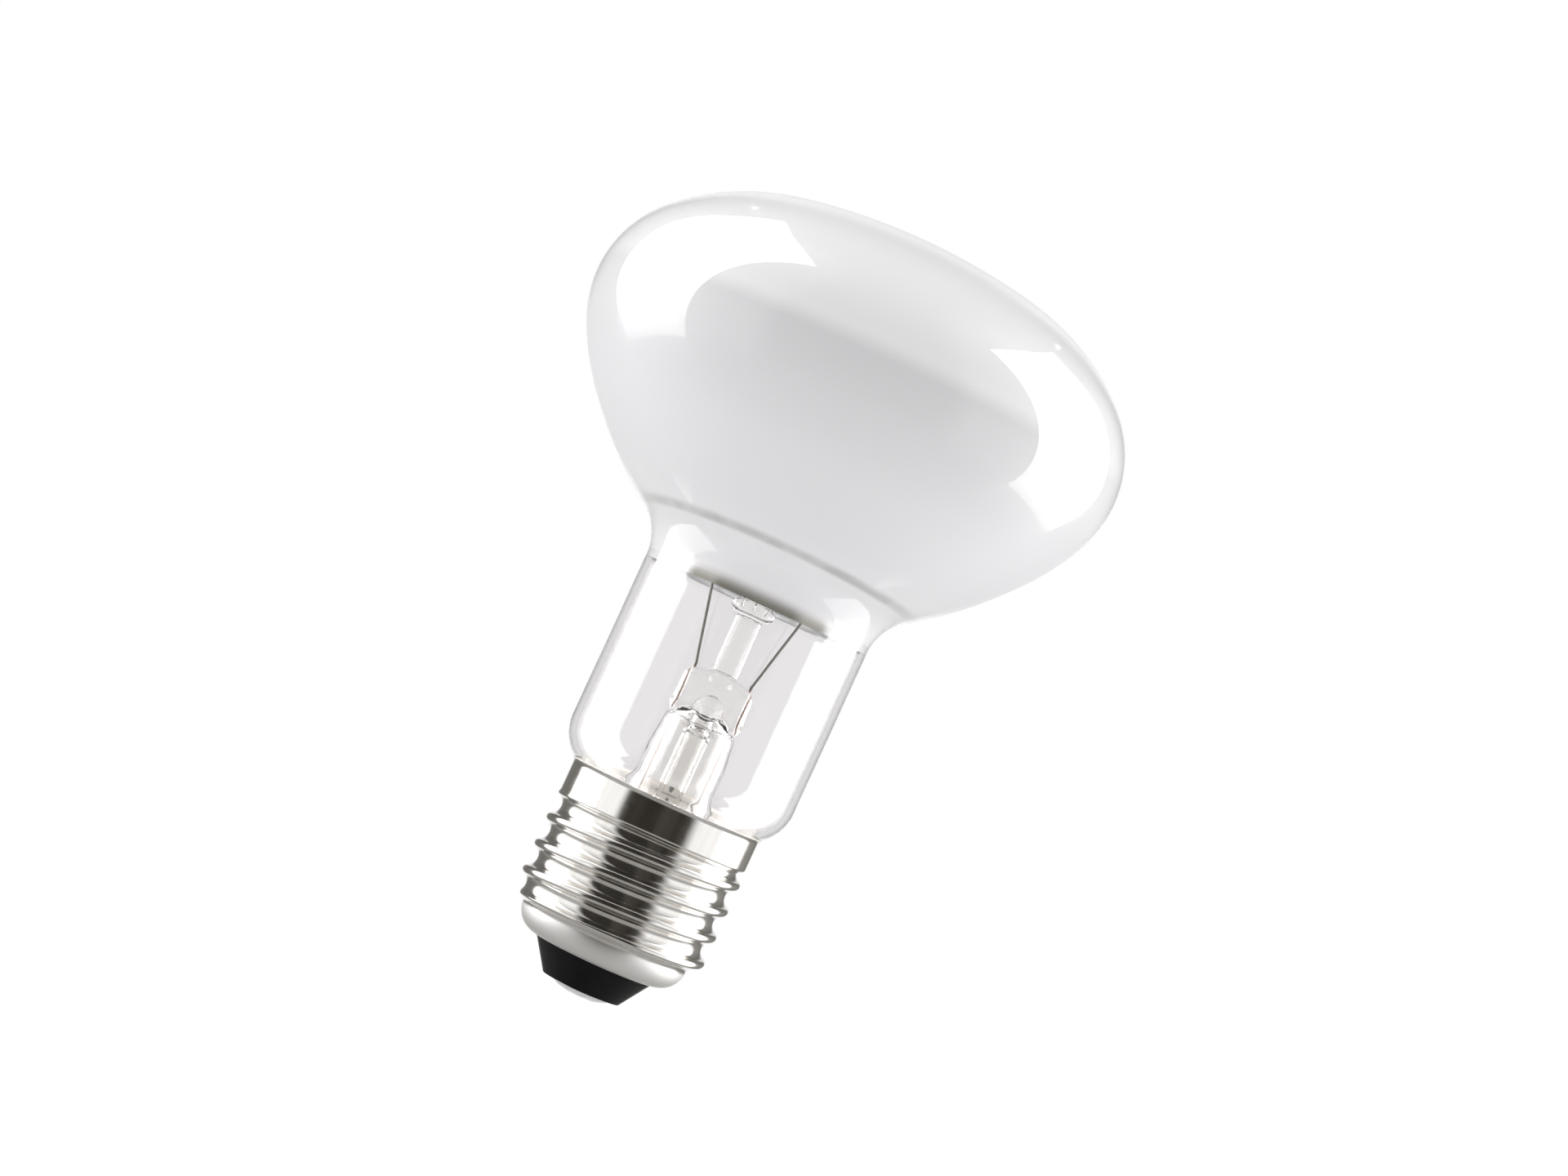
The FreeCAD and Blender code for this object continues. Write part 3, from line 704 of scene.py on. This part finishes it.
def revolve(outline, turns):
    """Vertices and faces of a closed outline spun about the axis, on which both its ends lie."""
    vertices = []
    rings = []
    for r, z in outline:
        if r < 1e-9:
            rings.append([len(vertices)] * turns)
            vertices.append((0, 0, z))
            continue
        rings.append(range(len(vertices), len(vertices) + turns))
        for step in range(turns):
            turn = 2 * math.pi * step / turns
            vertices.append((r * math.cos(turn), r * math.sin(turn), z))
    faces = []
    for upper, lower in zip(rings, rings[1:]):
        for step in range(turns):
            after = (step + 1) % turns
            corners = [upper[step], lower[step], lower[after], upper[after]]
            faces.append(list(dict.fromkeys(corners)))
    return vertices, faces


def blend_steps(low, high, share):
    """Eases from one value to another as share goes from 0 to 1."""
    t = min(1, max(0, share))
    return low + (high - low) * t * t * (3 - 2 * t)


class BULB_OT_envelope(bpy.types.Operator):
    """Blows the glass envelope: clear neck, mirrored head and frosted front in one wall"""

    bl_idname = "bulb.envelope"
    bl_label = "Envelope"

    def execute(self, context):
        settings = context.scene.bulb_glass
        outer = envelope_outline(0, OUTER_SPACING)
        inner = envelope_outline(GLASS_WALL, INNER_SPACING)
        outline = outer + inner[::-1]
        for height in (settings.coat_start, settings.coat_end):
            outline = split_at(outline, height)
        vertices, faces = revolve(outline, settings.turns)
        materials = [
            clear_glass("clear_glass", settings.clear_colour, 0.00001),
            mirror_coat(settings),
            frosted_front(settings),
            mirror_inside(),
        ]
        inner_start = outline.index(inner[-1])
        choices = []
        for row in range(len(outline) - 1):
            middle = (outline[row][1] + outline[row + 1][1]) / 2
            inside = row >= inner_start
            if middle < settings.coat_start:
                choice = 0
            elif middle < settings.coat_end:
                choice = 3 if inside else 1
            else:
                choice = 2
            choices += [choice] * settings.turns
        piece = link_mesh("glass_envelope", vertices, faces, materials, choices, math.radians(50))
        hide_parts("glass_bulb")
        return {"FINISHED"}


class BULB_OT_stem(bpy.types.Operator):
    """Gives the stem, its tube, its rod and their wires their finishes"""

    bl_idname = "bulb.stem"
    bl_label = "Stem and wires"

    def glass(self, material):
        """The stem, its tube and its rod as the flame leaves them: one run of glass with no seams."""
        copies = []
        shifts = (
            ("stem_flare", 1, 0),
            ("exhaust_tube", 1, WELD_SHIFT),
            ("arbor_rod", WELD_WIDENING, -WELD_SHIFT),
        )
        for node, widen, rise in shifts:
            whole = bmesh.new()
            whole.from_mesh(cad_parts[node].data)
            bmesh.ops.remove_doubles(whole, verts=whole.verts, dist=0.000001)
            for _ in range(4):
                long_edges = [edge for edge in whole.edges if edge.calc_length() > LONGEST_GLASS_EDGE]
                bmesh.ops.subdivide_edges(whole, edges=long_edges, cuts=1)
            bmesh.ops.triangulate(whole, faces=whole.faces)
            whole.transform(Matrix.Translation((0, 0, rise)) @ Matrix.Diagonal((widen, widen, 1, 1)))
            mesh = bpy.data.meshes.new(f"{node}_glass")
            whole.to_mesh(mesh)
            whole.free()
            copy = bpy.data.objects.new(f"{node}_glass", mesh)
            show(copy)
            copies.append(copy)
        for other in copies[1:]:
            union = copies[0].modifiers.new(other.name, "BOOLEAN")
            union.operation = "UNION"
            union.solver = "EXACT"
            union.object = other
        joined = copies[0].evaluated_get(bpy.context.evaluated_depsgraph_get())
        mesh = bpy.data.meshes.new_from_object(joined)
        for copy in copies:
            bpy.data.objects.remove(copy)
        skin(mesh, material)
        mesh.set_sharp_from_angle(angle=math.radians(35))
        piece = bpy.data.objects.new("stem_glass_work", mesh)
        show(piece)
        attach(piece, BODY)
        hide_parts("stem_flare", "exhaust_tube", "arbor_rod")

    def execute(self, context):
        wires = context.scene.bulb_wires
        self.glass(clear_glass("stem_glass", context.scene.bulb_glass.stem_colour, 0.00003, 1.44))
        lead, clad = tuple(wires.lead_colour), tuple(wires.copper_colour)
        nickel = plain_metal("nickel_lead", lead, rough=(0.3, 0.5), grains=4000.0, depth=0.00001)
        copper = plain_metal("sealed_copper", clad, rough=(0.3, 0.45), grains=4000.0, depth=0.00001)
        grey = (0.5, 0.5, 0.5)
        steel = plain_metal("support_wire", grey, rough=(0.25, 0.4), grains=6000.0, depth=0.000005)
        for side in ("left", "right"):
            dress(f"inner_lead_{side}", nickel)
            dress(f"seal_wire_{side}", copper)
        for node in ("centre_wire", "side_wire"):
            dress(node, copper)
        for node in sorted(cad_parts):
            if node.startswith("filament_support"):
                dress(node, steel)
        return {"FINISHED"}


class BULB_OT_filament(bpy.types.Operator):
    """Winds the tungsten coil along the spans between its supports"""

    bl_idname = "bulb.filament"
    bl_label = "Filament"

    def execute(self, context):
        wires = context.scene.bulb_wires
        supports = sum(node.startswith("filament_support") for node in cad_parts)
        radius = coil_high.x - wires.coil_radius * 0.5
        height = (coil_low.z + coil_high.z) / 2
        corners = []
        for index in range(supports + 2):
            turn = -math.pi * index / (supports + 1)
            corners.append(Vector((radius * math.cos(turn), radius * math.sin(turn), height)))
        data = bpy.data.curves.new("filament_coil", "CURVE")
        data.dimensions = "3D"
        data.bevel_depth = wires.coil_wire
        data.bevel_resolution = 1
        points = []
        for a, b in zip(corners, corners[1:]):
            along = b - a
            turns = round(along.length / wires.coil_pitch)
            side = along.normalized().cross(Vector((0, 0, 1)))
            steps = turns * COIL_STEPS
            for step in range(steps):
                turn = 2 * math.pi * step / COIL_STEPS
                out = side * math.cos(turn) + Vector((0, 0, math.sin(turn)))
                points.append(a + along * step / steps + out * (wires.coil_radius - wires.coil_wire))
        spline = data.splines.new("POLY")
        spline.points.add(len(points) - 1)
        for point, place_at in zip(spline.points, points):
            point.co = (*place_at, 1)
        data.use_fill_caps = True
        curve = bpy.data.objects.new("filament_curve", data)
        mesh = bpy.data.meshes.new_from_object(curve)
        bpy.data.objects.remove(curve)
        dark = (0.3, 0.3, 0.31)
        skin(mesh, plain_metal("tungsten", dark, rough=(0.35, 0.5), grains=5000.0, depth=0.000005))
        piece = bpy.data.objects.new("filament_coil", mesh)
        show(piece)
        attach(piece, BODY)
        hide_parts("filament")
        return {"FINISHED"}


class BULB_OT_cap(bpy.types.Operator):
    """Draws the cap with its rolled round thread, flared lip and the notch for the side wire"""

    bl_idname = "bulb.cap"
    bl_label = "Screw cap"

    def wave(self, settings, share):
        """The thread's radius at a share of its pitch: round crests and wider round valleys."""
        pitch = settings.pitch
        depth = settings.crest_radius - settings.root_radius
        lean = 2 * math.atan(depth / (pitch / 2))
        valley_round = pitch / 2 / math.sin(lean) - settings.crest_round
        x = abs((share + 0.5) % 1 - 0.5) * pitch
        crest_round = settings.crest_round
        if x < crest_round * math.sin(lean):
            return settings.crest_radius - crest_round + math.sqrt(crest_round ** 2 - x ** 2)
        return settings.root_radius + valley_round - math.sqrt(valley_round ** 2 - (pitch / 2 - x) ** 2)

    def radius(self, settings, turn, z):
        """The cap's outer radius at an angle and a height, between the bowl and the collar."""
        share = (z - settings.first_crest) / settings.pitch - turn / (2 * math.pi)
        collar_z = cap_high.z - COLLAR_DROP
        r = self.wave(settings, share)
        r = blend_steps(r, COLLAR_RADIUS, (z - collar_z + THREAD_FADE) / THREAD_FADE)
        return blend_steps(BOWL_OUTER_RADIUS, r, (z - BOWL_TOP + 0.0001) / BOWL_FADE)

    def normal(self, settings, turn, z):
        """The way the threaded sheet faces, from how its radius changes round it and up it."""
        r = self.radius(settings, turn, z)
        turn_step, z_step = 0.0005, 0.000005
        round_it = self.radius(settings, turn + turn_step, z) - self.radius(settings, turn - turn_step, z)
        up_it = self.radius(settings, turn, z + z_step) - self.radius(settings, turn, z - z_step)
        round_it /= 2 * turn_step
        up_it /= 2 * z_step
        x, y = math.cos(turn), math.sin(turn)
        return Vector((r * x + round_it * y, r * y - round_it * x, -r * up_it)).normalized()

    def rows(self):
        """Rows of the sheet from the bowl's hole to the rim: height, fixed radius or none, and normal."""
        centre = (BOWL_OUTER_RADIUS - BOWL_RADIUS, BOWL_TOP)
        rows = []
        for step in range(BOWL_STEPS + 1):
            angle = -90 + 90 * step / BOWL_STEPS
            r, z = polar(centre, BOWL_RADIUS, angle)
            rows.append((z, r, polar((0, 0), 1, angle)))
        thread_top = cap_high.z - THREAD_DROP
        for step in range(1, THREAD_STEPS + 1):
            rows.append((BOWL_TOP + (thread_top - BOWL_TOP) * step / THREAD_STEPS, None, (1, 0)))
        lip = cap_high.z - LIP_LENGTH
        notch_floor = cap_high.z - NOTCH_DEPTH
        for z in (thread_top + 0.0008, thread_top + 0.0016, notch_floor, lip - 0.00015):
            rows.append((z, COLLAR_RADIUS, (1, 0)))
        for step in range(LIP_STEPS + 1):
            share = step / LIP_STEPS
            flare = LIP_FLARE * share * share * 0.8
            rows.append((lip + LIP_LENGTH * share, COLLAR_RADIUS + flare, (1, 0)))
        return rows

    def execute(self, context):
        settings = context.scene.bulb_cap
        turns = settings.turns
        rows = self.rows()
        outer, inner, normals = [], [], []
        for z, fixed, normal in rows:
            for step in range(turns):
                turn = 2 * math.pi * step / turns
                r = fixed if fixed is not None else self.radius(settings, turn, z)
                inset_r = r - CAP_WALL * normal[0]
                outer.append((r * math.cos(turn), r * math.sin(turn), z))
                normals.append(self.normal(settings, turn, z) if fixed is None else Vector())
                inner.append((inset_r * math.cos(turn), inset_r * math.sin(turn), z - CAP_WALL * normal[1]))
        notch_floor = cap_high.z - NOTCH_DEPTH
        half_notch = NOTCH_WIDTH / 2 / COLLAR_RADIUS

        def kept(row, step):
            """Whether a cell of the sheet is there, or lies in the notch or past an edge."""
            if row < 0 or row >= len(rows) - 1:
                return False
            turn = 2 * math.pi * ((step % turns) + 0.5) / turns
            return rows[row][0] < notch_floor - 1e-7 or abs(turn - math.pi / 2) > half_notch

        shift = len(outer)
        faces, choices = [], []
        for row in range(len(rows) - 1):
            for step in range(turns):
                if not kept(row, step):
                    continue
                after = (step + 1) % turns
                a, b = row * turns + step, row * turns + after
                c, d = b + turns, a + turns
                faces.append((a, b, c, d))
                faces.append((shift + d, shift + c, shift + b, shift + a))
                choices += [0, 1]
                edges = (
                    (row - 1, step, a, b),
                    (row, step + 1, b, c),
                    (row + 1, step, c, d),
                    (row, step - 1, d, a),
                )
                for next_row, next_step, first, second in edges:
                    if not kept(next_row, next_step):
                        faces.append((second, first, shift + first, shift + second))
                        choices.append(0)
        brass = (0.86, 0.77, 0.6)
        inside = plain_metal("cap_inside", brass, rough=(0.5, 0.7), grains=1500.0, depth=0.00002)
        metals = [cap_metal(settings), inside]
        piece = link_mesh("threaded_cap", outer + inner, faces, metals, choices, math.radians(50))
        normals += [Vector()] * len(inner)
        piece.data.normals_split_custom_set([normals[loop.vertex_index] for loop in piece.data.loops])
        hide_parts("cap_shell")
        dress("capping_cement", cement())
        return {"FINISHED"}


class BULB_OT_contact(bpy.types.Operator):
    """Fits the black insulator, the contact disc and the uneven solder on both joints"""

    bl_idname = "bulb.contact"
    bl_label = "Insulator and contacts"

    def execute(self, context):
        dress("cap_insulator", black_glass())
        tin = (0.74, 0.74, 0.73)
        disc = plain_metal("tinned_disc", tin, rough=(0.22, 0.42), grains=2500.0, depth=0.00002)
        dress("contact_plate", disc)
        pale = (0.86, 0.86, 0.87)
        solder = plain_metal("solder", pale, rough=(0.2, 0.42), grains=1400.0, depth=0.00006, metallic=0.5)
        dress("side_solder", solder)
        edge = solder_high.x
        rim = plate_low.z + (plate_high.z - plate_low.z) * 0.3
        outline = [(0, solder_high.z), (SOLDER_PEG, solder_high.z), (SOLDER_PEG, rim)]
        outline += [(edge * share, rim) for share in (0.5, 0.75, 0.97)]
        for step in range(1, SOLDER_STEPS):
            share = step / SOLDER_STEPS
            r = edge - (edge - SOLDER_FOOT) * share
            outline.append((r, rim * (1 - math.sin(share * math.pi / 2) ** 0.8)))
        outline += [(SOLDER_FOOT, 0.0), (SOLDER_FOOT * 0.5, 0.0), (0, 0.0)]
        vertices, faces = revolve(outline, 64)
        shaped = []
        for x, y, z in vertices:
            r = math.hypot(x, y)
            if z < rim + 1e-6 and SOLDER_FOOT < r:
                lump = noise.noise(Vector((x, y, 0)) * LUMPS_PER_METRE) * SOLDER_LUMP
                ragged = 1 + SOLDER_RAG * noise.noise(Vector((x, y, 0.01)) * RAGS_PER_METRE)
                x, y = x * ragged, y * ragged
                z = max(0.00002, z + lump * (1 - z / rim))
            shaped.append((x, y, z))
        piece = link_mesh("contact_solder", shaped, faces, [solder], None, math.radians(60))
        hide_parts("centre_solder")
        return {"FINISHED"}


def on_side(form, side):
    """A light's form from the right-hand side, put on this side: 1 is right and -1 is left."""
    middle, width, length, facing = form
    return Vector((side * middle[0], *middle[1:])), width, length, Vector((side * facing[0], *facing[1:]))


class BULB_OT_stage(bpy.types.Operator):
    """Sets the floor, the room, the softboxes and the camera"""

    bl_idname = "bulb.stage"
    bl_label = "Stage"

    def floor(self, settings):
        """A pale floor that keeps the lamp's soft shadow and otherwise shows plain white."""
        size = 4.0
        z = -settings.floor_drop
        mesh = bpy.data.meshes.new("floor")
        corners = [(-size, -size, z), (size, -size, z), (size, size, z), (-size, size, z)]
        mesh.from_pydata(corners, [], [(0, 1, 2, 3)])
        material, tree, shader = new_material("floor")
        feed(tree, shader, Roughness=1.0, Specular_IOR_Level=0.0, Emission_Color=(1, 1, 1, 1))
        seen = tree.nodes.new("ShaderNodeLightPath").outputs["Is Camera Ray"]
        grey = mix_colour(tree, seen, (0.84, 0.84, 0.84), (0.32, 0.32, 0.32))
        feed(tree, shader, Base_Color=grey, Emission_Strength=times(tree, seen, 0.8))
        mesh.materials.append(material)
        floor = bpy.data.objects.new("floor", mesh)
        floor.visible_glossy = False
        floor.visible_transmission = False
        show(floor)

    def room(self, settings):
        """White to the camera and through glass, even light on the lamp, and in gloss a room that is
        dark on the camera's side."""
        world = bpy.data.worlds.new("studio")
        bpy.context.scene.world = world
        world.use_nodes = True
        tree = world.node_tree
        where = tree.nodes.new("ShaderNodeTexCoord")
        split = place(tree, "ShaderNodeSeparateXYZ", Vector=where.outputs["Generated"])
        ahead = times(tree, split.outputs["Y"], -1.0)
        turn = math_node(tree, "ARCTAN2", split.outputs["X"], ahead)
        share = math_node(tree, "ADD", math_node(tree, "DIVIDE", turn, 2 * math.pi), 0.5)
        ramp = tree.nodes.new("ShaderNodeValToRGB")
        tree.links.new(share, ramp.inputs[0])
        while len(ramp.color_ramp.elements) < len(ROOM_ROUND):
            ramp.color_ramp.elements.new(0.5)
        for element, (angle, colour) in zip(ramp.color_ramp.elements, ROOM_ROUND):
            element.position = 0.5 + angle / 360
            element.color = (*colour, 1)
        height = split.outputs["Z"]
        room = ramp.outputs[0]
        for low, high, colour, blend in ROOM_HEIGHTS:
            room = mix_colour(tree, ease(tree, height, low, high), room, colour, blend)
        middle = ease(tree, math_node(tree, "ABSOLUTE", split.outputs["X"]), *OVERHEAD_SIDES)
        overhead = times(tree, ease(tree, height, *OVERHEAD_RISE), middle)
        overhead = times(tree, overhead, ease(tree, split.outputs["Y"], *OVERHEAD_BACK))
        room = mix_colour(tree, overhead, room, OVERHEAD_COLOUR)
        waves = place(tree, "ShaderNodeTexNoise", noise_dimensions="1D", Scale=SHAPES_SCALE, Detail=3.0)
        feed(tree, waves, W=turn)
        shapes = times(tree, ease(tree, waves.outputs["Fac"], *SHAPES_CUT), SHAPES_STRENGTH)
        room = mix_colour(tree, 1.0, room, mix_colour(tree, 1.0, SHAPES_TINT, shapes, "MULTIPLY"), "ADD")
        path = tree.nodes.new("ShaderNodeLightPath")
        even = (settings.room_light,) * 3
        lit = mix_colour(tree, path.outputs["Is Glossy Ray"], even, room)
        seen = math_node(tree, "MAXIMUM", path.outputs["Is Camera Ray"], path.outputs["Is Transmission Ray"])
        feed(tree, tree.nodes["Background"], Color=mix_colour(tree, seen, lit, (1, 1, 1)), Strength=1.0)

    def receivers(self, name, pieces):
        """The pieces that a light is meant for."""
        group = bpy.data.collections.new(name)
        for piece in pieces:
            group.objects.link(piece)
        return group

    def area_light(self, name, form, strength, gloss, group=None):
        """An area light, which either shows in gloss and glass or gives soft light."""
        middle, width, length, facing = form
        data = bpy.data.lights.new(name, "AREA")
        data.shape = "RECTANGLE"
        data.size = width
        data.size_y = length
        data.energy = strength * math.pi * width * length
        light = bpy.data.objects.new(name, data)
        light.location = middle
        light.rotation_euler = facing.to_track_quat("-Z", "Y").to_euler()
        light.visible_camera = False
        light.visible_diffuse = not gloss
        light.visible_glossy = gloss
        light.visible_transmission = gloss
        if group:
            light.light_linking.receiver_collection = group
        show(light)

    def camera(self, settings):
        """The photograph's view: level with the neck, rolled so that the lamp leans to the right."""
        data = bpy.data.cameras.new("camera")
        camera = bpy.data.objects.new("camera", data)
        show(camera)
        at = Vector((0, -settings.camera_distance, settings.camera_height))
        aim = Vector((settings.aim_side, 0, settings.aim_height))
        data.sensor_width = 36
        data.lens = data.sensor_width * (aim - at).length / settings.view_width
        data.clip_start = 0.01
        data.clip_end = 20
        turn = (aim - at).to_track_quat("-Z", "Y").to_matrix().to_4x4()
        camera.matrix_world = Matrix.Translation(at) @ turn @ Matrix.Rotation(settings.roll, 4, "Z")
        bpy.context.scene.camera = camera

    def execute(self, context):
        settings = context.scene.bulb_stage
        self.floor(settings)
        self.room(settings)
        metal = [bpy.data.objects["threaded_cap"], bpy.data.objects["contact_solder"]]
        metal += [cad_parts[node] for node in ("cap_insulator", "contact_plate", "side_solder")]
        metal = self.receivers("metal_pieces", metal)
        glass = [bpy.data.objects["glass_envelope"], bpy.data.objects["stem_glass_work"]]
        glass = self.receivers("glass_pieces", glass)
        for name, form in SOFTBOXES.items():
            self.area_light(f"softbox_{name}", form, settings.softbox_light, True, glass)
            self.area_light(f"metal_softbox_{name}", form, settings.metal_softbox_light, True, metal)
            self.area_light(f"fill_{name}", form, settings.fill_light, False)
            side = math.copysign(1, form[0].x)
            low_fill = on_side(LOW_FILL, side)
            floor_patch = on_side(FLOOR_PATCH, side)
            self.area_light(f"low_fill_{name}", low_fill, settings.low_fill_light, False)
            self.area_light(f"floor_patch_{name}", floor_patch, settings.floor_patch_light, True, glass)
        under_dome = Vector((0, 0, glass_high.z - FRONT_LIGHT_DEPTH))
        front = (under_dome, FRONT_LIGHT_WIDTH, FRONT_LIGHT_WIDTH, Vector((0, 0, -1)))
        self.area_light("light_through_front", front, settings.front_glow, True)
        self.camera(settings)
        context.scene.view_settings.view_transform = "Standard"
        return {"FINISHED"}


class BULB_PT_panel(bpy.types.Panel):
    """Lists the bulb's operators and settings"""

    bl_idname = "BULB_PT_panel"
    bl_label = "Reflector Bulb"
    bl_space_type = "VIEW_3D"
    bl_region_type = "UI"
    bl_category = "Bulb"

    def draw(self, context):
        layout = self.layout
        for operator in OPERATORS:
            layout.operator(operator.bl_idname)
        for key in SETTINGS:
            box = layout.box()
            group = getattr(context.scene, key)
            for name in group.__annotations__:
                box.prop(group, name)


OPERATORS = (
    BULB_OT_envelope,
    BULB_OT_stem,
    BULB_OT_filament,
    BULB_OT_cap,
    BULB_OT_contact,
    BULB_OT_stage,
)
SETTINGS = {
    "bulb_glass": BulbGlassSettings,
    "bulb_cap": BulbCapSettings,
    "bulb_wires": BulbWireSettings,
    "bulb_stage": BulbStageSettings,
}


def register():
    """Registers the settings, operators and panel."""
    for cls in (*SETTINGS.values(), *OPERATORS, BULB_PT_panel):
        bpy.utils.register_class(cls)
    for key, cls in SETTINGS.items():
        setattr(bpy.types.Scene, key, PointerProperty(type=cls))


def unregister():
    """Takes them out again."""
    for key in SETTINGS:
        delattr(bpy.types.Scene, key)
    for cls in (BULB_PT_panel, *reversed(OPERATORS), *reversed(SETTINGS.values())):
        bpy.utils.unregister_class(cls)


def main():
    """Builds the lamp and its stage."""
    register()
    bpy.ops.bulb.envelope()
    bpy.ops.bulb.stem()
    bpy.ops.bulb.filament()
    bpy.ops.bulb.cap()
    bpy.ops.bulb.contact()
    bpy.ops.bulb.stage()


if __name__ == "__main__":
    main()
